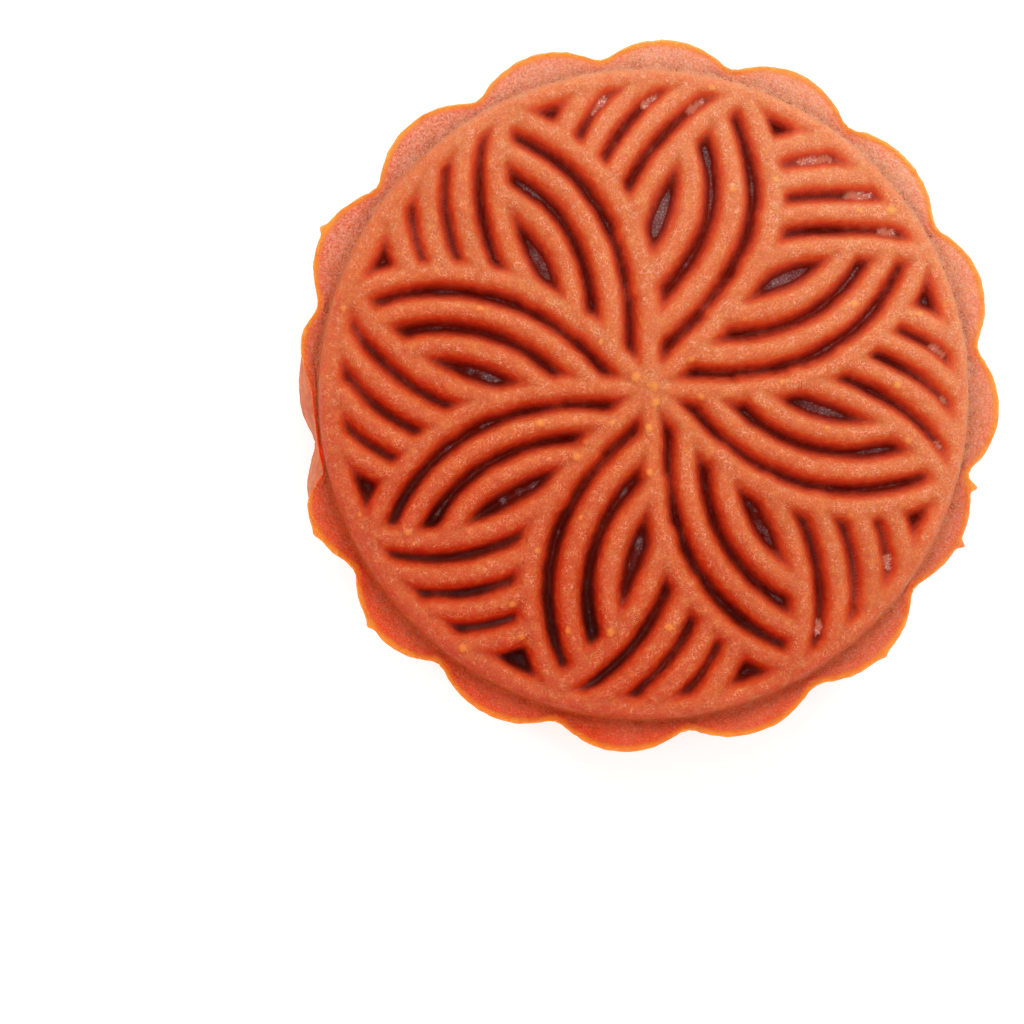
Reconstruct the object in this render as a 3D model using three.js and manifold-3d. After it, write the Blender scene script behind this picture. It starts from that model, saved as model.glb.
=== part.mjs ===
// A whole baked mooncake: a scalloped cake with a raised round top, on which moulded
// ridges draw a whirling flower of eight petals.
// Millimetres, +Z up. The origin is at the middle of the flat underside.

import * as THREE from 'three';
import { mergeVertices } from 'three/addons/utils/BufferGeometryUtils.js';
import Module from 'manifold-3d';

// ---- Driving dimensions -------------------------------------------------------------

const lobeCount = 16;
const lobeCrestRadius = 37.75;
const lobeCuspRadius = 35.4;
const firstCuspAngle = 7.5;
const stepsPerLobe = 6;

const shoulderHeight = 26.8;
const lipHeight = 0.35;
const lipWidth = 1;
const lipInset = 0.2;
const lipLeastRadius = 34.95;
// The lip's level top, between these shares of its width.
const lipTopShares = [0.25, 0.6];

// The moulded top is a round plateau that stands on the shoulder.
const plateauRadius = 34.3;
const plateauHeight = 29.7;
const plateauEdgeRound = 0.75;
const plateauFootSpread = 0.15;
const plateauRootDepth = 1.5;
const domeRise = 0.6;

// The flower sits a little off the cake's own middle, and so does the rim round it.
const flowerCentre = [0.62, 0.38];
const flowerRadius = 34.4;
const recessCentre = [0.28, 0.05];
const grooveFloor = 27.0;
const petalCount = 8;

// The rim's inner flank: its radius at shares of the height from groove floor to plateau.
const recessFlank = [
  { radius: 31.2, share: 0 },
  { radius: 31.95, share: 0.75 },
  { radius: 32.7, share: 1.04 },
];

// Half the ridge's width at its foot, at its shoulder and on its crest.
const ridgeHalfWidths = { foot: 1.7, shoulder: 1.0, crest: 0.4 };
const ridgeShoulderDrop = 0.25;
const ridgeRootDepth = 0.8;

// The wall from the flat underside up to the lip: how far it lies inside the widest outline,
// and how much of a dent in the lip it follows.
const wall = [
  { height: 0, inset: 2.3, dentShare: 0 },
  { height: 0.7, inset: 0.8, dentShare: 0 },
  { height: 2.4, inset: 0.1, dentShare: 0 },
  { height: 11, inset: 0, dentShare: 0 },
  { height: 19, inset: 0.25, dentShare: 0.06 },
  { height: 24.8, inset: 0.65, dentShare: 0.55 },
];

// Places where the lip was pressed inwards as the cake left its mould.
const lipDents = [
  { angle: 15, depth: 0.2, spread: 55 },
  { angle: 180, depth: 1.9, spread: 6.8 },
  { angle: 192.2, depth: 2.45, spread: 4.4 },
  { angle: 334, depth: 0.85, spread: 11 },
];

// Places where the soft top slid a little in the mould and took its ridges along. Place and
// spread are fractions of the flower's radius, and the slide is in millimetres.
const slips = [
  { at: [0.35, 0.43], by: [1.36, 1.49], spread: 0.29 },
  { at: [-0.71, 0.21], by: [0.12, 0.55], spread: 0.27 },
  { at: [-0.19, -0.29], by: [0.88, 0.64], spread: 0.24 },
  { at: [0.62, 0.4], by: [-0.61, -1.27], spread: 0.43 },
  { at: [0.54, 0.61], by: [0.36, -0.56], spread: 0.18 },
  { at: [-0.09, 0.46], by: [-0.64, 0.98], spread: 0.26 },
  { at: [-0.58, 0.46], by: [0.15, -0.39], spread: 0.22 },
  { at: [-0.45, -0.39], by: [-0.81, 0.49], spread: 0.39 },
];

// One eighth of the flower. Each ridge follows a circular arc, in fractions of the flower's
// radius, with the angles in degrees about the arc's own centre.
const hubReach = 0.03;
const ridgeArcs = {
  spoke: { centre: [0.266, 0.615], radius: 0.606, from: -88, to: -17.6, steps: 9 },
  petalBack: { centre: [0.664, -0.177], radius: 0.647, from: 74.6, to: 125, steps: 6 },
  innerPetal: { centre: [0.212, 0.683], radius: 0.575, from: -24, to: -98.7, steps: 7 },
  petalHeart: { centre: [0.229, 0.643], radius: 0.417, from: -26.9, to: -90, steps: 5 },
  longFill: { centre: [0.63, -0.026], radius: 0.605, from: 75.3, to: 117.7, steps: 4 },
  middleFill: { centre: [0.592, 0.163], radius: 0.52, from: 83, to: 113.8, steps: 3 },
  shortFill: { centre: [0.593, 0.221], radius: 0.567, from: 95, to: 113.5, steps: 2 },
};

// ---- Shape helpers ------------------------------------------------------------------

const { degToRad, euclideanModulo } = THREE.MathUtils;

// Joins rings of points, each with the same count, and closes both ends with a fan.
function loft(rings) {
  const count = rings[0].length;
  const points = rings.flat();
  const faces = [];
  for (let row = 0; row < rings.length - 1; row++) {
    for (let i = 0; i < count; i++) {
      const a = row * count + i;
      const b = row * count + (i + 1) % count;
      faces.push(a, b, b + count, a, b + count, a + count);
    }
  }
  const endFan = (ring, first, flipped) => {
    const middle = new THREE.Vector3();
    ring.forEach((point) => middle.addScaledVector(point, 1 / count));
    const hub = points.push(middle) - 1;
    for (let i = 0; i < count; i++) {
      const edge = [first + i, first + (i + 1) % count];
      faces.push(hub, ...(flipped ? edge.reverse() : edge));
    }
  };
  endFan(rings[0], 0, true);
  endFan(rings.at(-1), (rings.length - 1) * count, false);
  const geometry = new THREE.BufferGeometry().setFromPoints(points);
  geometry.setIndex(faces);
  return geometry;
}

// Distance from the axis to the scalloped outline, at an angle in degrees.
function lobedRadius(angle, inset) {
  const halfLobe = 180 / lobeCount;
  const chordHalf = lobeCuspRadius * Math.sin(degToRad(halfLobe));
  const chordDistance = lobeCuspRadius * Math.cos(degToRad(halfLobe));
  const rise = lobeCrestRadius - chordDistance;
  const arcRadius = (chordHalf ** 2 + rise ** 2) / (2 * rise);
  const arcCentre = lobeCrestRadius - arcRadius;
  const fromCusp = euclideanModulo(angle - firstCuspAngle, 2 * halfLobe);
  const fromCrest = degToRad(fromCusp - halfLobe);
  const sideways = arcCentre * Math.sin(fromCrest);
  return arcCentre * Math.cos(fromCrest) + Math.sqrt((arcRadius - inset) ** 2 - sideways ** 2);
}

// How far the lip was pressed inwards, at an angle in degrees.
function dentAt(angle) {
  let depth = 0;
  for (const dent of lipDents) {
    const away = euclideanModulo(angle - dent.angle + 180, 360) - 180;
    depth += dent.depth * Math.exp(-((away / dent.spread) ** 2));
  }
  return depth;
}

// One level ring of the scalloped outline, which follows a share of the dents.
function lobedRing(height, inset, dentShare) {
  const ring = [];
  for (let i = 0; i < lobeCount * stepsPerLobe; i++) {
    const angle = firstCuspAngle + i * 360 / (lobeCount * stepsPerLobe);
    const radius = Math.max(lobedRadius(angle, inset + dentShare * dentAt(angle)), lipLeastRadius - inset);
    const turn = degToRad(angle);
    ring.push(new THREE.Vector3(radius * Math.cos(turn), radius * Math.sin(turn), height));
  }
  return ring;
}

// A solid of revolution about +Z, from a profile of [radius, height] that ends on the axis.
function turned(profile, segments) {
  const points = profile.map(([radius, height]) => new THREE.Vector2(radius, height));
  return new THREE.LatheGeometry(points, segments).rotateX(Math.PI / 2);
}

// The moulded top's height at a distance from the flower's centre.
function crestHeight(distance) {
  return plateauHeight + domeRise * (1 - (distance / flowerRadius) ** 2);
}

// Places a point of the first petal, in fractions of the flower's radius, in a given petal.
function onTop([u, v], petal) {
  const turn = petal * 2 * Math.PI / petalCount;
  const along = u * Math.cos(turn) - v * Math.sin(turn);
  const across = u * Math.sin(turn) + v * Math.cos(turn);
  const point = new THREE.Vector2(along, across).multiplyScalar(flowerRadius);
  point.add(new THREE.Vector2(...flowerCentre));
  for (const { at, by, spread } of slips) {
    const away = Math.hypot(along - at[0], across - at[1]) / spread;
    point.addScaledVector(new THREE.Vector2(...by), Math.exp(-(away ** 2)));
  }
  return point;
}

function arcPoints({ centre, radius, from, to, steps }) {
  const points = [];
  for (let i = 0; i <= steps; i++) {
    const turn = degToRad(from + (to - from) * i / steps);
    points.push([centre[0] + radius * Math.cos(turn), centre[1] + radius * Math.sin(turn)]);
  }
  return points;
}

// A rounded bar that follows a line of plan points, sunk into the groove floor.
function ridge(line) {
  const root = grooveFloor - ridgeRootDepth;
  const { foot, shoulder, crest } = ridgeHalfWidths;
  const centre = new THREE.Vector2(...flowerCentre);
  const rings = line.map((point, i) => {
    const before = line[Math.max(i - 1, 0)];
    const after = line[Math.min(i + 1, line.length - 1)];
    const along = after.clone().sub(before).normalize();
    const left = new THREE.Vector2(-along.y, along.x);
    const top = crestHeight(point.distanceTo(centre));
    const side = [[foot, root], [shoulder, top - ridgeShoulderDrop * (top - grooveFloor)]];
    const section = [
      ...side,
      [crest, top],
      [-crest, top],
      ...side.map(([offset, height]) => [-offset, height]).reverse(),
    ];
    return section.map(([offset, height]) => (
      new THREE.Vector3(point.x + left.x * offset, point.y + left.y * offset, height)
    ));
  });
  return loft(rings);
}

// ---- Solids -------------------------------------------------------------------------

const wasm = await Module();
wasm.setup();

function toSolid(geometry) {
  const bare = geometry.clone();
  bare.deleteAttribute('normal');
  bare.deleteAttribute('uv');
  const merged = mergeVertices(bare, 1e-4);
  return new wasm.Manifold(new wasm.Mesh({
    numProp: 3,
    vertProperties: merged.getAttribute('position').array,
    triVerts: new Uint32Array(merged.getIndex().array),
  }));
}

function toGeometry(solid) {
  const mesh = solid.getMesh();
  const geometry = new THREE.BufferGeometry();
  geometry.setAttribute('position', new THREE.BufferAttribute(mesh.vertProperties, 3));
  geometry.setIndex(new THREE.BufferAttribute(mesh.triVerts, 1));
  return geometry;
}

// The scalloped cake up to its shoulder, with the thin raised lip round the edge.
function scallopedBody() {
  const lipTop = shoulderHeight + lipHeight;
  const rings = wall.map(({ height, inset, dentShare }) => lobedRing(height, inset, dentShare));
  rings.push(lobedRing(shoulderHeight - lipHeight, lipInset, 1));
  rings.push(...lipTopShares.map((share) => lobedRing(lipTop, lipInset + share * lipWidth, 1)));
  rings.push(lobedRing(shoulderHeight, lipInset + lipWidth, 1));
  return loft(rings);
}

function plateau() {
  const root = shoulderHeight - plateauRootDepth;
  const foot = plateauRadius + plateauFootSpread;
  return turned([
    [0, root],
    [foot, root],
    [foot, shoulderHeight],
    [plateauRadius, plateauHeight - plateauEdgeRound],
    [plateauRadius - plateauEdgeRound, plateauHeight],
    [0, plateauHeight],
  ], 72);
}

// What the mould left hollow inside the plateau's rim, before the ridges fill it again.
function recess() {
  const depth = plateauHeight - grooveFloor;
  const flank = recessFlank.map(({ radius, share }) => [radius, grooveFloor + share * depth]);
  const clear = plateauHeight + depth;
  return turned([
    [0, grooveFloor],
    ...flank,
    [flank.at(-1)[0], clear],
    [0, clear],
  ], 56).translate(...recessCentre, 0);
}

function flowerRidges() {
  const ridges = [];
  for (let petal = 0; petal < petalCount; petal++) {
    for (const [name, arc] of Object.entries(ridgeArcs)) {
      const points = arcPoints(arc);
      if (name === 'spoke') {
        points.unshift([hubReach, 0]);
      }
      ridges.push(ridge(points.map((point) => onTop(point, petal))));
    }
  }
  return ridges;
}

const solid = flowerRidges().reduce(
  (cake, bar) => cake.add(toSolid(bar)),
  toSolid(scallopedBody()).add(toSolid(plateau())).subtract(toSolid(recess())),
);

// ---- The part -----------------------------------------------------------------------

const bakedCrust = new THREE.MeshStandardMaterial({ color: 0xcf5a2c, roughness: 0.45, metalness: 0 });

const mooncake = new THREE.Mesh(toGeometry(solid), bakedCrust);
mooncake.name = 'mooncake';

const group = new THREE.Group();
group.add(mooncake);

export default group;
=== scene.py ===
"""A whole baked mooncake, lying flat with its pattern up.

One piece of crust: a scalloped wall, a thin raised lip, a flat shoulder, and a round raised top
on which moulded ridges draw a whirling flower of eight petals. Shapes are worked out in
millimetres and degrees, and are made metres when the mesh is written.
"""

import math

import bmesh
import bpy
import numpy as np
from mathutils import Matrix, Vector, noise


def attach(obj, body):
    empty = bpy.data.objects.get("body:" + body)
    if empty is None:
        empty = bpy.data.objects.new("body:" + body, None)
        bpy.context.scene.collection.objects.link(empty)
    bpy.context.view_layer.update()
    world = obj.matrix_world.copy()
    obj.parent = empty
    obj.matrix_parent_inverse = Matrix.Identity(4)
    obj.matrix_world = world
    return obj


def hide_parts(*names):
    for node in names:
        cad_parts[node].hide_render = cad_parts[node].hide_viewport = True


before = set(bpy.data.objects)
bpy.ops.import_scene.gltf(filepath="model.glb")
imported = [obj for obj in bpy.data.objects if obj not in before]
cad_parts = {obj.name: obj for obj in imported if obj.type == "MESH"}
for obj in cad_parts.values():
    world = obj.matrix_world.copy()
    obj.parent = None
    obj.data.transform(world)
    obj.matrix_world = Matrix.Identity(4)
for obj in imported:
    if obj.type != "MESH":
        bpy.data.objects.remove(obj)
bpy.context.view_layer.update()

MM = 0.001

# ---- The cake's dimensions ------------------------------------------------------------------

LOBE_COUNT = 16
LOBE_CREST_RADIUS = 38
LOBE_CUSP_RADIUS = 35.7
FIRST_CUSP_ANGLE = 7.5
# How far each lobe's crest stands out from the even outline, from the first cusp on.
LOBE_SWELL = (
    (0.13, -0.22, 0.12, -0.05, 0.06, 0.18, 0.35, -0.46)
    + (0.08, 0.15, -0.1, 0.1, -0.03, -0.15, 0.1, 0.05)
)
# Where the lobes sit a little further round than an even spacing: angle, shift and spread, all
# in degrees.
LOBE_DRIFTS = ((330, 1.9, 35), (215, 1, 18), (120, -0.5, 50))
# How much the cusps between lobes are filled in, and over how many degrees.
CUSP_FILL = 0.35
CUSP_SPREAD = 0.9

SHOULDER_HEIGHT = 26.8
LIP_HEIGHT = 0.35
LIP_WIDTH = 0.85
LIP_INSET = 0.14
LIP_LEAST_RADIUS = 34.95
# Places where the lip was pressed inwards: angle, depth, and spread in degrees.
LIP_DENTS = ((180, 2, 6.8), (192.2, 2.5, 4.4), (334, 0.85, 11))
# Ragged flakes that stand out from the lip: angle, reach, and spread in degrees.
LIP_FLAKES = (
    (152.5, 0.5, 0.7),
    (203, 0.35, 0.8),
    (220, 0.35, 0.7),
    (313, 0.3, 0.8),
    (334.8, 0.75, 0.7),
    (344.6, 1.0, 0.8),
)
# The lip's section from its inner side out: the share of its width, the share of its height, and
# how much of it is lip and not shoulder.
LIP_SECTION = (
    (0.2, 0.06, 0.3),
    (0.4, 0.3, 0.65),
    (0.58, 0.7, 0.95),
    (0.76, 0.97, 1),
    (0.9, 1, 1),
    (0.98, 0.7, 1),
    (1, 0.1, 0.85),
)
# The share of the lip's width from which its flakes stand out.
FLAKE_ROOT = 0.4

PLATEAU_RADIUS = 34.3
PLATEAU_HEIGHT = 29.7
# The patterned disc, and the rounded edge that joins it to the steep side.
DISC_RADIUS = 33.45
EDGE_DROP = 1.0
EDGE_STEPS = 6
# The steep side from the edge down: radius, height, and how much of it is shoulder.
STEEP_SIDE = ((34.35, 28.2, 0), (34.39, 27.65, 0.1), (34.46, 27.15, 0.4), (34.6, 26.9, 1))
# How much the edge and the side take on the colour of a ridge's flank, which is partly painted
# shade.
SIDE_FLANK_SHADE = 0.22
# Where the shoulder starts, and how far it sags between there and the lip.
FOOT_RADIUS = 34.65
SHOULDER_SAG = 0.08
SHOULDER_STEPS = 6
# How far the painted shade at the foot of the raised top reaches out over the shoulder.
FOOT_SHADE = 0.9
DOME_RISE = 0.6

FLOWER_CENTRE = (0.62, 0.38)
FLOWER_RADIUS = 34.4
PETAL_COUNT = 8
RECESS_CENTRE = (0.28, 0.05)
RIM_CREST_RADIUS = 33.67
GROOVE_FLOOR = 27.0
# Half the width of a ridge on its level top, and down at the foot of its flanks.
RIDGE_HALF_TOP = 0.25
RIDGE_HALF_WIDTH = 1.86
# How full the flanks are, from 1 for straight ones, and how far their edges are softened.
RIDGE_FULLNESS = 1.75
RIDGE_SOFTNESS = 0.07
# How far from a crest line the crust keeps changing colour.
GROOVE_REACH = 2
# The rim round the flower is level for this much further than a ridge.
RIM_LEVEL = 0.3
RIDGE_BLEND = 0.1
HUB_REACH = 0.03

# One eighth of the flower. Each ridge follows a circular arc, in fractions of the flower's
# radius: the arc's centre, its radius, and the two angles in degrees that it runs between.
RIDGE_ARCS = {
    "spoke": ((0.266, 0.615), 0.606, -88, -17.6),
    "petal back": ((0.664, -0.177), 0.647, 74.6, 125),
    "inner petal": ((0.212, 0.683), 0.575, -98.7, -24),
    "petal heart": ((0.229, 0.643), 0.417, -90, -26.9),
    "long fill": ((0.63, -0.026), 0.605, 75.3, 117.7),
    "middle fill": ((0.592, 0.163), 0.52, 83, 113.8),
    "short fill": ((0.593, 0.221), 0.567, 95, 113.5),
}
# Places where the soft top slid in the mould and took its ridges along: the place in fractions
# of the flower's radius, the slide in millimetres, and the spread in fractions of the radius.
SLIPS = (
    ((0.35, 0.43), (1.36, 1.49), 0.29),
    ((-0.71, 0.21), (0.12, 0.55), 0.27),
    ((-0.19, -0.29), (0.88, 0.64), 0.24),
    ((0.62, 0.4), (-0.61, -1.27), 0.43),
    ((0.54, 0.61), (0.36, -0.56), 0.18),
    ((-0.09, 0.46), (-0.64, 0.98), 0.26),
    ((-0.58, 0.46), (0.15, -0.39), 0.22),
    ((-0.45, -0.39), (-0.81, 0.49), 0.39),
)

# Torn films of crust that bridge the outer ends of some grooves: the angle and radius where each
# lies, and half its length. Each lies along its groove.
TORN_FILMS = (
    (8.4, 31.2, 0.8),
    (-1.3, 31.7, 0.5),
    (-9.7, 31.4, 0.6),
    (33.7, 30.9, 0.9),
    (42.2, 30.6, 1.3),
    (54, 30.6, 1.9),
    (79.7, 31.2, 0.9),
    (88.5, 31.2, 0.9),
    (98.5, 31, 1.2),
    (307.1, 31, 0.7),
    (325.5, 31.3, 0.7),
)
FILM_HEIGHT = 28.2
FILM_HALF_WIDTH = 1.2
# How far a groove there is turned from the line out from the axis, in degrees.
FILM_TURN = -48
# How fast a film falls away beyond its ends, in millimetres of height for each millimetre.
FILM_SLOPE = 2

# The wall from the underside up: height, and how far it lies inside the widest outline.
WALL_PROFILE = (
    (0, 2.3),
    (0.35, 1.25),
    (0.9, 0.6),
    (2.4, 0.12),
    (6, 0),
    (11, 0),
    (19, 0.25),
    (24.5, 0.62),
    (26.2, 0.72),
)
# The heights of the wall's rings, closest where it turns in under the lip and at the foot.
WALL_HEIGHTS = (
    (26.1, 25.5, 24.7, 23.5, 21.8, 19.7, 17.2, 14.5)
    + (11.8, 9, 6.4, 4.4, 3.0, 1.8, 0.9, 0.35)
)
WALL_LEAST_RADIUS = 33.8
# The lip's dry orange fades out down the wall between these two heights.
LIP_FADE = (25.2, 26.1)
# How far the underside's outline lies inside the foot of the wall, and its rings, as shares of
# that outline.
UNDERSIDE_INSET = 0.1
UNDERSIDE_RINGS = (1, 0.9, 0.62, 0.28)
# How much of a dent in the lip each height of the wall follows.
DENT_REACH = ((17, 0), (21, 0.12), (24, 0.4), (26.4, 0.95))

# The patterned disc's grid, and the draw that scatters the blisters.
GRID_STEPS = 240
RANDOM_SEED = 16
BLISTER_COUNT = 70
# The blisters that stand near the hub: where each is, and its radius.
HUB_BLISTERS = (
    (0.9, 0.8, 0.6),
    (-0.9, 1.8, 0.55),
    (5.9, -0.4, 0.5),
    (-7.1, -6.6, 0.45),
    (0.5, -8.2, 0.45),
)


# ---- Shape functions ------------------------------------------------------------------------


def concentric(a, b):
    """Maps a square from -1 to 1 onto the unit disc, where every cell keeps its share of area."""
    flat = np.abs(a) > np.abs(b)
    reach = np.where(flat, a, b)
    safe = np.where(reach == 0, 1, reach)
    turn = np.where(flat, math.pi / 4 * b / safe, math.pi / 2 - math.pi / 4 * a / safe)
    return reach * np.cos(turn), reach * np.sin(turn)


def arc_distance(u, v, centre, radius, start, end):
    """Distance to a circular arc with round ends."""
    du, dv = u - centre[0], v - centre[1]
    middle = math.radians((start + end) / 2)
    half = math.radians((end - start) / 2)
    turn = (np.arctan2(dv, du) - middle + math.pi) % (2 * math.pi) - math.pi
    nearest = middle + np.clip(turn, -half, half)
    return np.hypot(du - radius * np.cos(nearest), dv - radius * np.sin(nearest))


def straight_distance(u, v, end):
    """Distance to the straight that runs along the first spoke from the hub to end."""
    return np.hypot(u - np.clip(u, HUB_REACH, end), v)


def before_slips(x, y):
    """Where a point of the flower was before the slips, in fractions of the flower's radius."""
    start_u = (x - FLOWER_CENTRE[0]) / FLOWER_RADIUS
    start_v = (y - FLOWER_CENTRE[1]) / FLOWER_RADIUS
    u, v = start_u, start_v
    for _ in range(4):
        shift_u, shift_v = 0, 0
        for at, by, spread in SLIPS:
            share = np.exp(-((u - at[0]) ** 2 + (v - at[1]) ** 2) / spread**2)
            shift_u = shift_u + by[0] / FLOWER_RADIUS * share
            shift_v = shift_v + by[1] / FLOWER_RADIUS * share
        u, v = start_u - shift_u, start_v - shift_v
    return u, v


def ridge_distance(x, y):
    """Distance to the nearest ridge's crest line, or to the rim's, blended where they meet.

    It also gives how much nearer that ridge is than the next one.
    """
    u, v = before_slips(x, y)
    closeness = 0
    nearest = np.full_like(x, FLOWER_RADIUS)
    second = nearest.copy()
    for petal in range(PETAL_COUNT):
        turn = petal * 2 * math.pi / PETAL_COUNT
        along = u * math.cos(turn) + v * math.sin(turn)
        across = v * math.cos(turn) - u * math.sin(turn)
        distances = [arc_distance(along, across, *arc) for arc in RIDGE_ARCS.values()]
        distances.append(straight_distance(along, across, RIDGE_ARCS["spoke"][0][0]))
        spoke = np.minimum(distances.pop(), distances.pop(0))
        for distance in (spoke, *distances):
            distance = distance * FLOWER_RADIUS
            second = np.minimum(second, np.maximum(distance, nearest))
            nearest = np.minimum(nearest, distance)
            closeness = closeness + np.exp(-distance / RIDGE_BLEND)
    from_recess = np.hypot(x - RECESS_CENTRE[0], y - RECESS_CENTRE[1])
    to_rim = np.maximum(RIM_CREST_RADIUS - RIM_LEVEL - from_recess, 0)
    second = np.minimum(second, np.maximum(to_rim, nearest))
    nearest = np.minimum(nearest, to_rim)
    closeness = closeness + np.exp(-to_rim / RIDGE_BLEND)
    return np.maximum(-RIDGE_BLEND * np.log(closeness), 0), second - nearest


def ridge_section(distance):
    """A ridge's height over its groove, from 1 on its level top to 0 at the foot of its flank."""
    total = 0
    for step in (-1, 0, 1):
        beyond_top = np.abs(distance + step * RIDGE_SOFTNESS) - RIDGE_HALF_TOP
        share = np.clip(beyond_top / (RIDGE_HALF_WIDTH - RIDGE_HALF_TOP), 0, 1)
        total = total + 1 - share**RIDGE_FULLNESS
    return total / 3


def smooth_noise(x, y, z, size, seed):
    """Smooth noise of about the given feature size in millimetres, from -1 to 1."""
    points = zip(x / size + seed * 7.3, y / size, z / size)
    return np.array([noise.noise(Vector(point)) for point in points])


def lobed_radius(angle, inset):
    """Distance from the axis to the scalloped outline, drawn in by the inset."""
    half_lobe = 180 / LOBE_COUNT
    chord_half = LOBE_CUSP_RADIUS * math.sin(math.radians(half_lobe))
    rise = LOBE_CREST_RADIUS - LOBE_CUSP_RADIUS * math.cos(math.radians(half_lobe))
    arc_radius = (chord_half**2 + rise**2) / (2 * rise)
    arc_centre = LOBE_CREST_RADIUS - arc_radius
    from_first = (angle - FIRST_CUSP_ANGLE - bumps_round(angle, LOBE_DRIFTS)) % 360
    lobe = (from_first // (2 * half_lobe)).astype(int) % LOBE_COUNT
    from_crest = from_first % (2 * half_lobe) - half_lobe
    swell = np.array(LOBE_SWELL)[lobe] * np.cos(math.pi / 2 * from_crest / half_lobe) ** 2
    sideways = arc_centre * np.sin(np.radians(from_crest))
    span = np.maximum((arc_radius - inset) ** 2 - sideways**2, 0)
    fill = CUSP_FILL * np.exp(-(((half_lobe - np.abs(from_crest)) / CUSP_SPREAD) ** 2))
    return arc_centre * np.cos(np.radians(from_crest)) + np.sqrt(span) + swell + fill


def bumps_round(angle, bumps):
    """The sum of smooth bumps round the cake, each with its angle, size and spread."""
    total = np.zeros_like(angle)
    for at, size, spread in bumps:
        away = (angle - at + 180) % 360 - 180
        total += size * np.exp(-((away / spread) ** 2))
    return total


def read_profile(profile, height):
    """Reads a profile of (height, value) pairs at a height."""
    heights, values = zip(*profile)
    return float(np.interp(height, heights, values))


def outer_rings(angle):
    """The rings of the cake outside its patterned disc, from the top's edge to the underside.

    Each ring has a radius and a height for every angle, and how much of it is flank, shoulder,
    lip, wall and foot of the raised top.
    """
    flat = np.ones_like(angle)
    rings = []

    def ring(radius, height, flank=0, shoulder=0, lip=0, wall=0, foot=0):
        rings.append([value * flat for value in (radius, height, flank, shoulder, lip, wall, foot)])

    for step in range(1, EDGE_STEPS + 1):
        share = step / EDGE_STEPS
        bend = math.pi / 2 * share
        radius = DISC_RADIUS + (PLATEAU_RADIUS - DISC_RADIUS) * math.sin(bend)
        height = PLATEAU_HEIGHT - EDGE_DROP * (1 - math.cos(bend))
        ring(radius, height, flank=SIDE_FLANK_SHADE * share, foot=0.9 * share)
    for radius, height, shoulder in STEEP_SIDE:
        ring(radius, height, flank=SIDE_FLANK_SHADE, shoulder=shoulder, foot=1)

    dents = bumps_round(angle, LIP_DENTS)
    outer = np.maximum(lobed_radius(angle, LIP_INSET + dents), LIP_LEAST_RADIUS)
    inner = np.maximum(outer - LIP_WIDTH, FOOT_RADIUS)
    for step in range(1, SHOULDER_STEPS + 1):
        share = step / SHOULDER_STEPS
        height = SHOULDER_HEIGHT - SHOULDER_SAG * math.sin(math.pi * share)
        away = (inner - FOOT_RADIUS) * share
        shade = np.exp(-((away / FOOT_SHADE) ** 2))
        ring(FOOT_RADIUS + away, height, shoulder=1, lip=0.08 * (share == 1), foot=shade)

    # Where the lip was pressed flat against the raised top it isn't dry.
    standing = 1 - 0.8 * np.clip(dents / 1.5, 0, 1)
    flakes = bumps_round(angle, LIP_FLAKES)
    band = outer - inner
    for share, rise, lip in LIP_SECTION:
        radius = inner + band * share + flakes * max(share - FLAKE_ROOT, 0) / (1 - FLAKE_ROOT)
        ring(radius, SHOULDER_HEIGHT + LIP_HEIGHT * rise, shoulder=1 - lip, lip=lip * standing)

    low, high = LIP_FADE
    for height in WALL_HEIGHTS:
        inset = read_profile(WALL_PROFILE, height) + dents * read_profile(DENT_REACH, height)
        radius = np.maximum(lobed_radius(angle, inset), WALL_LEAST_RADIUS)
        ring(radius, height, lip=0.4 * max(0, (height - low) / (high - low)), wall=1)

    base = lobed_radius(angle, read_profile(WALL_PROFILE, 0)) - UNDERSIDE_INSET
    for share in UNDERSIDE_RINGS:
        ring(base * share, 0, wall=1)
    return rings


# ---- The mesh -------------------------------------------------------------------------------


def torn_films(x, y):
    """The height of the torn films, each of which spans its groove and slopes away at its ends."""
    level = np.full_like(x, FILM_HEIGHT)
    ragged = 0.5 * smooth_noise(x, y, level, 1.2, 6)
    crinkle = 0.15 * smooth_noise(x, y, level, 0.8, 7)
    height = np.zeros_like(x)
    for angle, radius, half_length in TORN_FILMS:
        turn, lie = math.radians(angle), math.radians(angle + FILM_TURN)
        from_x, from_y = x - radius * math.cos(turn), y - radius * math.sin(turn)
        lengthwise = np.abs(from_x * math.cos(lie) + from_y * math.sin(lie))
        crosswise = np.abs(from_y * math.cos(lie) - from_x * math.sin(lie))
        outside = np.maximum(lengthwise + ragged - half_length, 0)
        outside = outside + np.maximum(crosswise - FILM_HALF_WIDTH, 0)
        height = np.maximum(height, FILM_HEIGHT + crinkle - FILM_SLOPE * outside)
    return height


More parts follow.
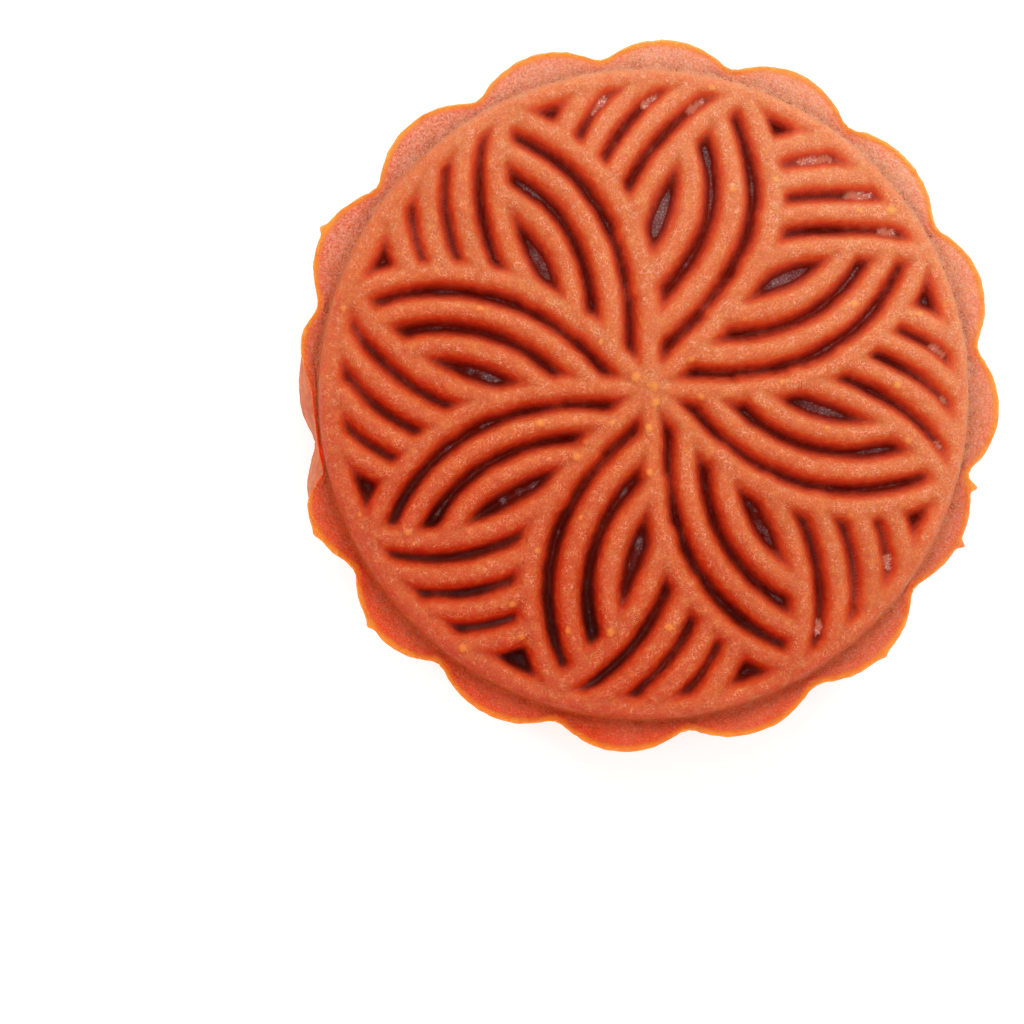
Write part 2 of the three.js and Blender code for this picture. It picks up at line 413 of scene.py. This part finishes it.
def patterned_top(x, y):
    """Height of the moulded top, how far down a flank each point is, and where it is torn film."""
    level = np.full_like(x, PLATEAU_HEIGHT)
    wobble = 0.14 * smooth_noise(x, y, level, 2.6, 1) + 0.05 * smooth_noise(x, y, level, 0.9, 2)
    distance, clearance = ridge_distance(x, y)
    # Dough gathered in the corners where two flanks meet.
    distance = distance - 0.12 * np.maximum(1 - clearance / 0.6, 0) ** 2
    # The relief's unevenness dies out towards the rim, so that the edge stays round.
    near_rim = np.clip((np.hypot(x, y) - DISC_RADIUS + 0.5) / 0.5, 0, 1)
    distance = np.maximum(distance + wobble * (1 - near_rim), 0)
    section = ridge_section(distance)
    from_centre = np.hypot(x - FLOWER_CENTRE[0], y - FLOWER_CENTRE[1])
    crest = PLATEAU_HEIGHT + DOME_RISE * np.maximum(1 - (from_centre / FLOWER_RADIUS) ** 2, 0)
    swells = 0.12 * smooth_noise(x, y, level, 8, 3) + 0.04 * smooth_noise(x, y, level, 2.5, 4)
    crest += swells * (1 - near_rim)
    floor = GROOVE_FLOOR + 0.16 * smooth_noise(x, y, level, 3.5, 5)
    height = floor + (crest - floor) * section
    film_height = torn_films(x, y)
    film = np.clip((film_height - height) / 0.15, 0, 1)
    height = np.where(near_rim >= 1, PLATEAU_HEIGHT, np.maximum(height, film_height))
    return height, np.clip(distance / GROOVE_REACH, 0, 1), film


def crowd_flanks(x, y):
    """Moves the grid's points to where the relief needs them.

    They close up on the steep flanks of the ridges, and settle onto the lines where two flanks
    meet, so that each groove's bottom is a clean edge.
    """
    step, spacing = 0.05, 2.1
    distance, clearance = ridge_distance(x, y)
    right, left = ridge_distance(x + step, y), ridge_distance(x - step, y)
    above, below = ridge_distance(x, y + step), ridge_distance(x, y - step)
    slope_x, slope_y = ((b[0] - a[0]) / (2 * step) for a, b in ((left, right), (below, above)))
    shift = 0.14 * np.sin(2 * math.pi * np.minimum(distance, spacing) / spacing)
    shift *= np.clip(clearance / 0.8, 0, 1)

    open_x, open_y = ((b[1] - a[1]) / (2 * step) for a, b in ((left, right), (below, above)))
    opening = np.maximum(np.hypot(open_x, open_y), 0.5)
    from_valley = clearance / opening
    half_cell, reach = 0.15, 0.5
    settled = reach * np.clip((from_valley - half_cell) / (reach - half_cell), 0, 1)
    pull = np.where(from_valley < reach, from_valley - settled, 0)
    pull *= np.clip((opening - 0.8) / 0.4, 0, 1) * np.clip((distance - 0.6) / 0.3, 0, 1) / opening
    return x + shift * slope_x - pull * open_x, y + shift * slope_y - pull * open_y


def blisters(x, y, groove):
    """Small bubbles in the crust, most of them on the crests: their height and their strength."""
    draw = np.random.RandomState(RANDOM_SEED)
    places = list(HUB_BLISTERS)
    while len(places) < BLISTER_COUNT:
        reach, turn = DISC_RADIUS * math.sqrt(draw.rand()), 2 * math.pi * draw.rand()
        places.append((reach * math.cos(turn), reach * math.sin(turn), 0.28 + 0.24 * draw.rand()))
    height, strength = np.zeros_like(x), np.zeros_like(x)
    for at_x, at_y, radius in places:
        share = np.exp(-(((x - at_x) ** 2 + (y - at_y) ** 2) / radius**2) ** 1.4)
        height += 0.6 * radius * share
        strength = np.maximum(strength, share)
    on_crest = np.clip(2 - 3.5 * groove, 0, 1)
    return height * on_crest, strength * on_crest


# What each point of the skin is part of, from 0 to 1, and how far it faces the side the light comes
# from, from -1 to 1, which paints light and shade on its slopes.
ATTRIBUTES = ("groove", "shoulder", "lip", "wall", "foot", "blister", "film", "lit_facing")


def bake_mooncake():
    """The crust as one closed skin: a grid laid out as the disc, then rings drawn out and down."""
    bm = bmesh.new()
    bmesh.ops.create_grid(bm, x_segments=GRID_STEPS, y_segments=GRID_STEPS, size=1)
    layers = {name: bm.verts.layers.float.new(name) for name in ATTRIBUTES}

    top = list(bm.verts)
    x, y = concentric(np.array([v.co.x for v in top]), np.array([v.co.y for v in top]))
    on_edge = np.hypot(x, y) > 1 - 1e-6
    edge_angle = np.degrees(np.arctan2(y, x)) % 360
    x, y = x * DISC_RADIUS, y * DISC_RADIUS
    moved_x, moved_y = crowd_flanks(x, y)
    x, y = np.where(on_edge, x, moved_x), np.where(on_edge, y, moved_y)
    z, groove, film = patterned_top(x, y)
    lift, strength = blisters(x, y, groove)
    z = np.where(on_edge, PLATEAU_HEIGHT, z + lift)
    for i, vertex in enumerate(top):
        vertex.co = (x[i], y[i], z[i])
        vertex[layers["groove"]] = groove[i]
        vertex[layers["blister"]] = strength[i]
        vertex[layers["film"]] = film[i]

    angle = edge_angle[on_edge]
    ring_vertices = [vertex for i, vertex in enumerate(top) if on_edge[i]]
    ring_edges = [edge for edge in bm.edges if edge.is_boundary]
    for radius, height, *shares in outer_rings(angle):
        drawn_out = bmesh.ops.extrude_edge_only(bm, edges=ring_edges)["geom"]
        ring_edges = [part for part in drawn_out if isinstance(part, bmesh.types.BMEdge)]
        new_vertices = {part for part in drawn_out if isinstance(part, bmesh.types.BMVert)}
        for i, vertex in enumerate(ring_vertices):
            neighbours = {edge.other_vert(vertex) for edge in vertex.link_edges}
            ring_vertices[i] = (neighbours & new_vertices).pop()
        for i, vertex in enumerate(ring_vertices):
            turn = math.radians(angle[i])
            vertex.co = (radius[i] * math.cos(turn), radius[i] * math.sin(turn), height[i])
            for name, share in zip(("groove", "shoulder", "lip", "wall", "foot"), shares):
                vertex[layers[name]] = share[i]
            vertex[layers["blister"]] = vertex[layers["film"]] = 0
    bmesh.ops.pointmerge(bm, verts=ring_vertices, merge_co=(0, 0, 0))
    bmesh.ops.recalc_face_normals(bm, faces=bm.faces)
    return bm, layers


def roughen(bm, layers):
    """Gives the smooth skin the fine unevenness of a baked crust, along its own normals."""
    bm.normal_update()
    vertices = list(bm.verts)
    x, y, z = (np.array([v.co[axis] for v in vertices]) for axis in range(3))
    groove, shoulder, lip, wall = (
        np.array([v[layers[name]] for v in vertices])
        for name in ("groove", "shoulder", "lip", "wall")
    )
    fine = smooth_noise(x, y, z, 0.55, 11)
    small = smooth_noise(x, y, z, 1.3, 12)
    broad = smooth_noise(x, y, z, 4.5, 13)
    amount = fine * (0.022 + 0.05 * shoulder + 0.03 * lip + 0.01 * wall + 0.02 * groove)
    amount += small * (0.03 + 0.07 * shoulder + 0.07 * lip + 0.04 * wall)
    amount += broad * (0.03 * shoulder + 0.06 * lip + 0.1 * wall)
    amount *= np.clip(z / 0.4, 0, 1)
    for vertex, push in zip(vertices, amount):
        vertex.co += vertex.normal * push
    # How far each point faces the side the light comes from, which the crust turns into painted
    # light and shade on its slopes.
    lit_side = towards(PALE_AND_LIT_SIDE)
    bm.normal_update()
    for vertex in vertices:
        vertex[layers["lit_facing"]] = vertex.normal.dot(lit_side)


def settle(bm, name):
    """Writes the mesh in metres, smooth, as an object that sits at the origin."""
    bmesh.ops.scale(bm, vec=(MM, MM, MM), verts=bm.verts)
    mesh = bpy.data.meshes.new(name)
    bm.to_mesh(mesh)
    bm.free()
    for polygon in mesh.polygons:
        polygon.use_smooth = True
    piece = bpy.data.objects.new(name, mesh)
    bpy.context.scene.collection.objects.link(piece)
    return piece


# ---- Materials ------------------------------------------------------------------------------

# Two sides of the cake, as angles about the axis: the side the light comes from, where the crust is
# palest, partly from uneven browning and partly from painted light, and the one where the shoulder
# has a patch of painted sheen.
PALE_AND_LIT_SIDE = 60
SHEEN_SIDE = 133

# How the crust reads the skin's attributes: which one, between which two values, what it counts
# for at each of them, and how it runs from one to the other.
SKIN_PARTS = {
    "slope_shading": ("lit_facing", (-1, 1), (-0.28, 0.28), "LINEAR"),
    "depth": ("groove", (0, 1), (0, 1), "LINEAR"),
    "crest": ("groove", (0.25, 0.5), (1, 0.4), "SMOOTHSTEP"),
    "deep": ("groove", (0.56, 0.82), (0, 1), "SMOOTHSTEP"),
    "sticky": ("groove", (0.85, 1), (0, 1), "SMOOTHSTEP"),
    "bottom": ("groove", (0.9, 0.97), (0, 1), "SMOOTHSTEP"),
    "blister": ("blister", (0.2, 0.9), (0, 1), "SMOOTHSTEP"),
    "film": ("film", (0, 1), (0, 1), "SMOOTHSTEP"),
    "shoulder": ("shoulder", (0, 1), (0, 1), "SMOOTHSTEP"),
    "foot": ("foot", (0, 1), (0, 1), "LINEAR"),
    "lip": ("lip", (0, 1), (0, 1), "SMOOTHSTEP"),
    "wall": ("wall", (0, 1), (0, 1), "SMOOTHSTEP"),
}

# The crust's uneven patterns: the size of each in millimetres, its detail and roughness, and the
# two levels of the noise between which it comes up.
CRUST_PATTERNS = {
    "heat and light": (9, 1, 0.5, (0.3, 0.7)),
    "mottles": (1.7, 2, 0.5, (0.42, 0.68)),
    "flecks": (0.9, 2, 0.5, (0.5, 0.72)),
    "pits": (0.45, 2, 0.6, (0.6, 0.75)),
    "grain": (0.22, 2, 0.6, (0.34, 0.66)),
    "swells": (0.8, 2, 0.5, (0.2, 0.8)),
    "waves": (0.4, 1, 0.5, (0, 1)),
    "wrinkled": (1.1, 1, 0.5, (0.45, 0.6)),
    "syrup_and_shade": (0.7, 3, 0.6, (0, 1)),
    "glint streaks": (0.2, 2, 0.7, (0.5, 0.75)),
    "sheen specks": (0.28, 3, 0.7, (0.46, 0.68)),
    "cracks": (0.3, 2, 0.6, (0.5, 0.36)),
    "wall tone": (6, 2, 0.5, (0.3, 0.7)),
    "scorch": (3, 2, 0.5, (0.2, 0.6)),
}
CELL_SIZE = 0.3
CELL_WARP = 0.5
CELL_WARP_SIZE = 0.9

# From the most browned and shaded crust to the palest and most lit: partly browning, partly painted
# light and shade.
CRUST_TONES = ((0, "#CC3C10"), (0.5, "#DE7438"), (1, "#EC9864"))
SHOULDER_TONES = ((0, "#F2480E"), (0.5, "#F07C4A"), (1, "#FCB88A"))
# What painted shade and syrup take from the crust's colour, from a crest down to the bottom of a
# groove.
SYRUP_AND_SHADE_TONES = (
    (0.34, "#FFFFFF"),
    (0.46, "#FFE6DC"),
    (0.53, "#FFCCBC"),
    (0.62, "#FDB5AA"),
    (0.71, "#F09C9C"),
    (0.78, "#E28890"),
    (0.86, "#C8727A"),
    (0.96, "#A4443F"),
)


def towards(azimuth, elevation=0):
    """A direction, from its angle about the axis and its angle above level, in degrees."""
    turn, lift = math.radians(azimuth), math.radians(elevation)
    level = math.cos(lift)
    return Vector((math.cos(turn) * level, math.sin(turn) * level, math.sin(lift)))


def linear(code):
    """An sRGB hex colour as linear red, green, blue and alpha."""
    values = [int(code[i : i + 2], 16) / 255 for i in (1, 3, 5)]
    return [v / 12.92 if v <= 0.04045 else ((v + 0.055) / 1.055) ** 2.4 for v in values] + [1]


def add(tree, kind, settings=None, inputs=None, stops=()):
    """Adds one node with its settings. An input is a value, or another node's output to link.

    Stops are a colour ramp's places and colours.
    """
    node = tree.nodes.new(kind)
    for name, value in (settings or {}).items():
        setattr(node, name, value)
    for name, value in (inputs or {}).items():
        if isinstance(value, bpy.types.NodeSocket):
            tree.links.new(value, node.inputs[name])
        else:
            node.inputs[name].default_value = value
    for _ in stops[2:]:
        node.color_ramp.elements.new(0.5)
    for number, (position, code) in enumerate(stops):
        node.color_ramp.elements[number].position = position
        node.color_ramp.elements[number].color = linear(code)
    return node


def paint(tree, skin, pale_and_lit, layers):
    """Lays tones over a skin in turn, each as strongly as its shares multiplied together.

    A tone is one colour, or two that run from where the crust is most browned and shaded to where
    it is palest and most lit, or another skin.
    """
    for tone, share, *further_shares in layers:
        for further in further_shares:
            thinned = add(tree, "ShaderNodeMath", {"operation": "MULTIPLY"}, {0: share, 1: further})
            share = thinned.outputs[0]
        if isinstance(tone, str):
            tone = linear(tone)
        elif isinstance(tone, tuple):
            ends = {0: pale_and_lit, 6: linear(tone[0]), 7: linear(tone[1])}
            tone = add(tree, "ShaderNodeMix", {"data_type": "RGBA"}, ends).outputs[2]
        laid = add(tree, "ShaderNodeMix", {"data_type": "RGBA"}, {0: share, 6: skin, 7: tone})
        skin = laid.outputs[2]
    return skin


def baked_crust():
    """Egg-washed wheat crust, oily from its syrup dough.

    It is a satin orange-brown that lets light in a little way, so that thin and steep places
    glow red. Painted shade and syrup darken the grooves, painted light pales the side the light
    comes from, and painted highlights and glints fleck the crests, the shoulder and the films.
    The thin lip dries to a clear orange, and fine flour grain speckles it all.
    """
    material = bpy.data.materials.new("baked_syrup_crust")
    material.use_nodes = True
    tree = material.node_tree
    tree.nodes.clear()
    place = add(tree, "ShaderNodeTexCoord").outputs["Object"]

    part = {}
    for name, (attribute, read, counts, fall) in SKIN_PARTS.items():
        level = add(tree, "ShaderNodeAttribute", {"attribute_name": attribute}).outputs["Fac"]
        span = {0: level, 1: read[0], 2: read[1], 3: counts[0], 4: counts[1]}
        part[name] = add(tree, "ShaderNodeMapRange", {"interpolation_type": fall}, span).outputs[0]

    pattern = {}
    for name, (size, detail, roughness, levels) in CRUST_PATTERNS.items():
        texture = {"Vector": place, "Scale": 1 / (size * MM)}
        texture |= {"Detail": detail, "Roughness": roughness}
        level = add(tree, "ShaderNodeTexNoise", None, texture).outputs["Fac"]
        span = {0: level, 1: levels[0], 2: levels[1]}
        pattern[name] = add(tree, "ShaderNodeMapRange", None, span).outputs[0]

    # Leathery cells, bent by a broader noise so that no two are alike.
    texture = {"Vector": place, "Scale": 1 / (CELL_WARP_SIZE * MM), "Detail": 1}
    warp = add(tree, "ShaderNodeTexNoise", None, texture).outputs["Color"]
    bend = {0: warp, 1: [CELL_WARP * MM] * 3, 2: place}
    bent = add(tree, "ShaderNodeVectorMath", {"operation": "MULTIPLY_ADD"}, bend).outputs["Vector"]
    leather = {"Vector": bent, "Scale": 1 / (CELL_SIZE * MM)}
    cells = add(tree, "ShaderNodeTexVoronoi", None, leather).outputs["Distance"]
    # Short wavy wrinkles, the level lines of a broader noise: they raise the relief, and their tops
    # are painted as highlights.
    centred = {0: pattern["waves"], 1: 0.5}
    wave = add(tree, "ShaderNodeMath", {"operation": "SUBTRACT"}, centred).outputs[0]
    off_line = add(tree, "ShaderNodeMath", {"operation": "ABSOLUTE"}, {0: wave}).outputs[0]

    # Across the cake the crust runs from clear orange on the side the light comes from to a deep
    # red-brown on the far side: partly uneven browning, partly painted light and shade.
    dot = {"operation": "DOT_PRODUCT"}
    across, across_sheen = (
        add(tree, "ShaderNodeVectorMath", dot, {0: place, 1: towards(side)}).outputs["Value"]
        for side in (PALE_AND_LIT_SIDE, SHEEN_SIDE)
    )
    uneven = {0: pattern["heat and light"], 1: 12 * MM, 2: across}
    across_pale_and_lit = add(tree, "ShaderNodeMath", {"operation": "MULTIPLY_ADD"}, uneven).outputs[0]
    span = {0: across_pale_and_lit, 1: -34 * MM, 2: 46 * MM}
    pale_and_lit = add(tree, "ShaderNodeMapRange", None, span).outputs[0]
    # Slopes that face the light are painted paler and slopes that face away are painted darker:
    # painted light and shade.
    lit_slopes = {0: part["slope_shading"], 1: pale_and_lit}
    pale_and_lit_slopes = add(tree, "ShaderNodeMath", {"operation": "ADD"}, lit_slopes).outputs[0]
    film_level = {0: pattern["mottles"], 1: 0.5, 2: pale_and_lit}
    film_dryness_and_sheen = add(tree, "ShaderNodeMath", {"operation": "MULTIPLY_ADD"}, film_level).outputs[0]
    height = add(tree, "ShaderNodeSeparateXYZ", None, {"Vector": place}).outputs["Z"]

    # How strongly each finish comes up: what it follows, between which two values, and its
    # strength at each of them.
    strength = {}
    for name, follows, levels, strengths, fall in (
        ("lit cell tops", cells, (0.1, 0.55), (1, 0), "LINEAR"),
        ("lit wrinkle tops", off_line, (0, 0.05), (1, 0), "LINEAR"),
        ("burnt and shaded", pale_and_lit, (0.1, 0.42), (0.85, 0), "LINEAR"),
        ("dried and sheen", film_dryness_and_sheen, (0.45, 0.9), (0, 1), "LINEAR"),
        ("sheen patch", across_sheen, (27 * MM, 35 * MM), (0, 1), "LINEAR"),
        ("foot shade", pale_and_lit, (0.2, 0.75), (0.4, 0.12), "LINEAR"),
        ("scorched", height, (0, 7 * MM), (0.75, 0), "SMOOTHSTEP"),
        ("satin", pale_and_lit, (0, 1), (0.13, 0.24), "LINEAR"),
    ):
        span = {0: follows, 1: levels[0], 2: levels[1], 3: strengths[0], 4: strengths[1]}
        ranged = add(tree, "ShaderNodeMapRange", {"interpolation_type": fall}, span)
        strength[name] = ranged.outputs[0]
    lit_wrinkle_tops = {0: strength["lit wrinkle tops"], 1: pattern["wrinkled"]}
    wrinkles_and_glints = add(tree, "ShaderNodeMath", {"operation": "MULTIPLY"}, lit_wrinkle_tops).outputs[0]

    # The flanks came clean out of the mould. Only the crests are leathery.
    crest = part["crest"]
    browned_and_lit = add(tree, "ShaderNodeValToRGB", None, {"Fac": pale_and_lit_slopes}, CRUST_TONES)
    # The pale cell tops and wrinkle tops on the crests are painted highlights.
    crust_layers = (
        (("#B93A0C", "#DC7444"), pattern["mottles"], 0.35),
        (("#DC741C", "#F2B068"), pattern["flecks"], 0.6),
        (("#DC7032", "#F8C29C"), strength["lit cell tops"], crest, 0.35),
        (("#9C3410", "#C05C34"), pattern["pits"], 0.5),
        (("#A83208", "#C86438"), pattern["grain"], crest, 0.5),
        (("#F89E60", "#FFD8BA"), wrinkles_and_glints, crest, 0.6),
        (("#E0802A", "#F2AE5C"), part["blister"], 0.85),
    )
    colour = paint(tree, browned_and_lit.outputs["Color"], pale_and_lit_slopes, crust_layers)
    # The grooves darken with depth: painted shade together with syrup.
    uneven_level = {0: pattern["syrup_and_shade"], 1: 0.16, 2: part["depth"]}
    depth = add(tree, "ShaderNodeMath", {"operation": "MULTIPLY_ADD"}, uneven_level).outputs[0]
    syrup_and_shade = add(tree, "ShaderNodeValToRGB", None, {"Fac": depth}, SYRUP_AND_SHADE_TONES).outputs["Color"]
    multiply = {"data_type": "RGBA", "blend_type": "MULTIPLY"}
    colour = add(tree, "ShaderNodeMix", multiply, {0: 1, 6: colour, 7: syrup_and_shade}).outputs[2]

    toasted_and_lit = add(tree, "ShaderNodeValToRGB", None, {"Fac": pale_and_lit}, SHOULDER_TONES)
    shoulder_layers = (
        (("#B03810", "#D47C5C"), pattern["grain"], 0.6),
        (("#D05C28", "#FACCAE"), pattern["flecks"], 0.3),
        (("#D86428", "#FCD2BC"), strength["lit cell tops"], 0.25),
        # The pale streaks are painted glints.
        (("#F68C58", "#FFECE2"), pattern["glint streaks"], 0.65),
        # Along one stretch of the shoulder, a painted sheen of pale specks with darker cracks
        # between them.
        ("#B44A24", strength["sheen patch"], pattern["cracks"], 0.4),
        ("#FFD0B8", strength["sheen patch"], pattern["sheen specks"], 0.6),
    )
    shoulder_skin = paint(tree, toasted_and_lit.outputs["Color"], pale_and_lit, shoulder_layers)

    # The wall is evenly brown, darkest low down where it stood on the hot tray.
    wall_layers = (
        ("#D06632", pattern["wall tone"]),
        ("#A83C14", pattern["mottles"], 0.45),
        ("#E08C4C", pattern["flecks"], 0.45),
        ("#DC8450", strength["lit cell tops"], 0.25),
        ("#8A3010", pattern["pits"], 0.5),
        ("#8C3812", strength["scorched"], pattern["scorch"]),
    )
    wall_skin = paint(tree, linear("#B8481A"), pale_and_lit, wall_layers)

    # On the side away from the light the bottoms of the grooves are painted nearly black: painted
    # shade, partly burnt syrup.
    # Elsewhere they carry a grey syrup film that is partly painted reflection, with painted glints
    # as bright streaks.
    syrup_film_and_glints = paint(tree, linear("#A06260"), pale_and_lit, [("#F2D6D2", pattern["glint streaks"])])
    # Torn films are a paler crust, with painted glints on their wrinkles.
    torn_film_and_glints = paint(tree, linear("#D87A5C"), pale_and_lit, [("#FFE4DC", wrinkles_and_glints)])
    dull = {0: pattern["mottles"], 1: -0.3, 2: 0.95}
    patchy = add(tree, "ShaderNodeMath", {"operation": "MULTIPLY_ADD"}, dull).outputs[0]
    part_layers = (
        ("#3A0E08", part["deep"], strength["burnt and shaded"]),
        (syrup_film_and_glints, part["bottom"], strength["dried and sheen"], 0.9),
        (shoulder_skin, part["shoulder"]),
        # Painted shade in the crease at the foot of the raised top, deepest on the side away from
        # the light.
        ("#8A2006", part["foot"], strength["foot shade"]),
        ("#963418", part["foot"], wrinkles_and_glints, 0.85),
        (torn_film_and_glints, part["film"]),
        (wall_skin, part["wall"]),
        (("#F29A2E", "#FCB858"), part["lip"], patchy),
    )
    colour = paint(tree, colour, pale_and_lit, part_layers)

    # A satin crust, glossier where it is darker and where syrup lies in the grooves. The wall and
    # the steep foot of the raised top are floury and hardly shine.
    floury_parts = {0: part["wall"], 1: part["foot"]}
    dry = add(tree, "ShaderNodeMath", {"operation": "MAXIMUM"}, floury_parts).outputs[0]
    syrupy = {0: part["sticky"], 2: strength["satin"], 3: 0.1}
    wet = add(tree, "ShaderNodeMix", None, syrupy).outputs[0]
    roughness = add(tree, "ShaderNodeMix", None, {0: dry, 2: wet, 3: 0.6}).outputs[0]
    duller = {0: part["foot"], 1: -0.27, 2: 0.32}
    gloss = add(tree, "ShaderNodeMath", {"operation": "MULTIPLY_ADD"}, duller).outputs[0]

    # The relief of the skin, one over another: how high in millimetres, how strong, and whether
    # it is pressed in.
    skin_normal = None
    for relief, rise, strong, pressed in (
        (pattern["swells"], 0.16, 0.7, False),
        (cells, 0.13, crest, True),
        (pattern["grain"], 0.1, crest, False),
        (wrinkles_and_glints, 0.05, crest, False),
    ):
        bump = {"Height": relief, "Distance": rise * MM, "Strength": strong}
        if skin_normal:
            bump["Normal"] = skin_normal
        skin_normal = add(tree, "ShaderNodeBump", {"invert": pressed}, bump).outputs["Normal"]

    skin = {
        "Base Color": colour,
        "Roughness": roughness,
        "Normal": skin_normal,
        "IOR": 1.45,
        "Specular IOR Level": gloss,
        "Subsurface Weight": 1,
        "Subsurface Radius": (1, 0.09, 0.04),
        "Subsurface Scale": 1.4 * MM,
    }
    crust = add(tree, "ShaderNodeBsdfPrincipled", None, skin).outputs["BSDF"]
    add(tree, "ShaderNodeOutputMaterial", None, {"Surface": crust})
    return material


def light_table():
    """Milky acrylic lit from below: a matt white ground that glows a little and softens shadows."""
    material = bpy.data.materials.new("milky_acrylic_light_table")
    material.use_nodes = True
    tree = material.node_tree
    tree.nodes.clear()
    surface = {
        "Base Color": linear("#F4F4F3"),
        "Roughness": 0.9,
        "Specular IOR Level": 0.1,
        "Emission Color": linear("#FFFFFF"),
        "Emission Strength": 0.3,
    }
    acrylic = add(tree, "ShaderNodeBsdfPrincipled", None, surface).outputs["BSDF"]
    add(tree, "ShaderNodeOutputMaterial", None, {"Surface": acrylic})
    return material


# ---- Stage, lights and camera ---------------------------------------------------------------

VIEW_MIDDLE = (-13.9, -12.4)
VIEW_WIDTH = 107.8
CAMERA_DISTANCE = 300
SENSOR_WIDTH = 36
FLOOR_HALF_WIDTH = 3000
FLOOR_GAP = 0.05

ROOM_STRENGTH = 1.48
CEILING_STRENGTH = 0.4
# The sines of the elevations between which the room's walls turn into its ceiling.
CEILING_START, CEILING_FULL = 0.72, 0.97
# The side the light comes from, as an angle, and how much brighter the room is there.
BRIGHT_SIDE = 50
BRIGHT_SHARE = 0.13
# The small soft boxes: azimuth and elevation in degrees, and watts.
SOFT_BOXES = ((55, 52, 0.35), (150, 50, 0.2), (235, 58, 0.25))
SOFT_BOX_WIDTH = 70
SOFT_BOX_DISTANCE = 450


def lay_floor():
    """A wide pale floor, a hair under the cake so that the two faces don't touch."""
    bm = bmesh.new()
    bmesh.ops.create_grid(bm, x_segments=1, y_segments=1, size=FLOOR_HALF_WIDTH)
    bmesh.ops.translate(bm, vec=(0, 0, -FLOOR_GAP), verts=bm.verts)
    floor = settle(bm, "floor")
    floor.data.materials.append(light_table())


def hang_lights():
    """A white room whose ceiling is dark round the camera, and a few small soft boxes."""
    world = bpy.data.worlds.new("white_room")
    world.use_nodes = True
    tree = world.node_tree
    tree.nodes.clear()
    direction = add(tree, "ShaderNodeTexCoord").outputs["Generated"]
    height = add(tree, "ShaderNodeSeparateXYZ", None, {"Vector": direction}).outputs["Z"]
    rise = {0: height, 1: CEILING_START, 2: CEILING_FULL, 3: ROOM_STRENGTH, 4: CEILING_STRENGTH}
    even = add(tree, "ShaderNodeMapRange", {"interpolation_type": "SMOOTHSTEP"}, rise).outputs[0]
    dot, sides = {"operation": "DOT_PRODUCT"}, {0: direction, 1: towards(BRIGHT_SIDE)}
    sideways = add(tree, "ShaderNodeVectorMath", dot, sides).outputs["Value"]
    brighter = {0: sideways, 1: BRIGHT_SHARE, 2: 1}
    share = add(tree, "ShaderNodeMath", {"operation": "MULTIPLY_ADD"}, brighter).outputs[0]
    lit = add(tree, "ShaderNodeMath", {"operation": "MULTIPLY"}, {0: even, 1: share})
    room = add(tree, "ShaderNodeBackground", None, {"Strength": lit.outputs[0]}).outputs[0]
    add(tree, "ShaderNodeOutputWorld", None, {"Surface": room})
    bpy.context.scene.world = world

    for azimuth, elevation, watts in SOFT_BOXES:
        lamp = bpy.data.lights.new("soft_box", "AREA")
        lamp.shape = "DISK"
        lamp.size = SOFT_BOX_WIDTH * MM
        lamp.energy = watts
        soft_box = bpy.data.objects.new("soft_box", lamp)
        outwards = towards(azimuth, elevation)
        soft_box.location = outwards * SOFT_BOX_DISTANCE * MM
        soft_box.rotation_euler = outwards.to_track_quat("Z", "Y").to_euler()
        bpy.context.scene.collection.objects.link(soft_box)


def set_camera():
    """Looks straight down on the cake, which lies up and to the right of the view's middle."""
    lens = bpy.data.cameras.new("camera")
    lens.sensor_width = SENSOR_WIDTH
    lens.lens = SENSOR_WIDTH * CAMERA_DISTANCE / VIEW_WIDTH
    lens.clip_end = 20
    camera = bpy.data.objects.new("camera", lens)
    camera.location = Vector((*VIEW_MIDDLE, PLATEAU_HEIGHT + CAMERA_DISTANCE)) * MM
    bpy.context.scene.collection.objects.link(camera)
    bpy.context.scene.camera = camera
    bpy.context.scene.view_settings.view_transform = "Standard"


# ---- The scene ------------------------------------------------------------------------------

skin_mesh, skin_layers = bake_mooncake()
roughen(skin_mesh, skin_layers)
cake = settle(skin_mesh, "baked_mooncake")
cake.data.materials.append(baked_crust())
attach(cake, "root")
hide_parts("mooncake")

lay_floor()
hang_lights()
set_camera()
